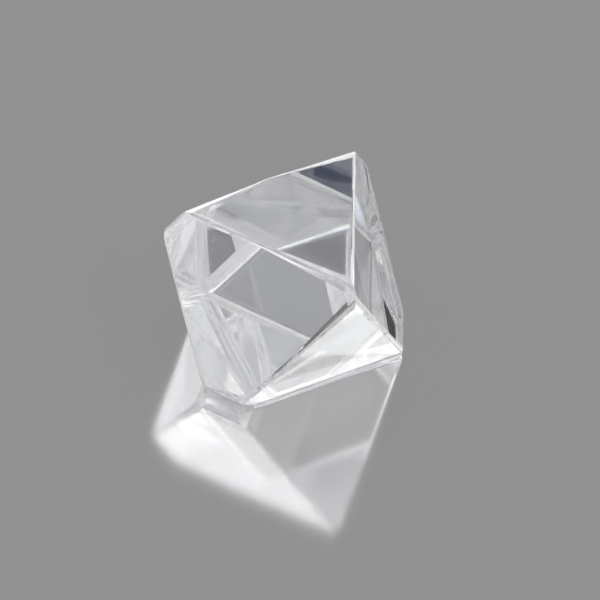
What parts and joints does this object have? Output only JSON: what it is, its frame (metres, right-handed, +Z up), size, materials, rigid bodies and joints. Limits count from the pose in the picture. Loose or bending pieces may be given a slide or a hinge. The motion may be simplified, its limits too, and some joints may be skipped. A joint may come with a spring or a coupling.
{
  "type": "rough diamond crystal",
  "caption": "Clear rough diamond: a natural octahedral crystal with flat faces and stepped, rounded edges, lying on one face.",
  "frame": {"origin": "centre of the bounding box in X and Y, on the flat face that the stone lies on", "axes": "+Z up, square to the face it lies on and to the level upper face; +Y along the long edge between the upper face's right front corner and its right back corner, away from the viewer; +X to the right"},
  "size_m": [0.0052, 0.0048, 0.0037],
  "materials": {
    "diamond": "clear colourless diamond, plain transmission with an index of refraction of 2.417"
  },
  "bodies": {
    "root": {"rough_diamond": "diamond"}
  },
  "joints": []
}
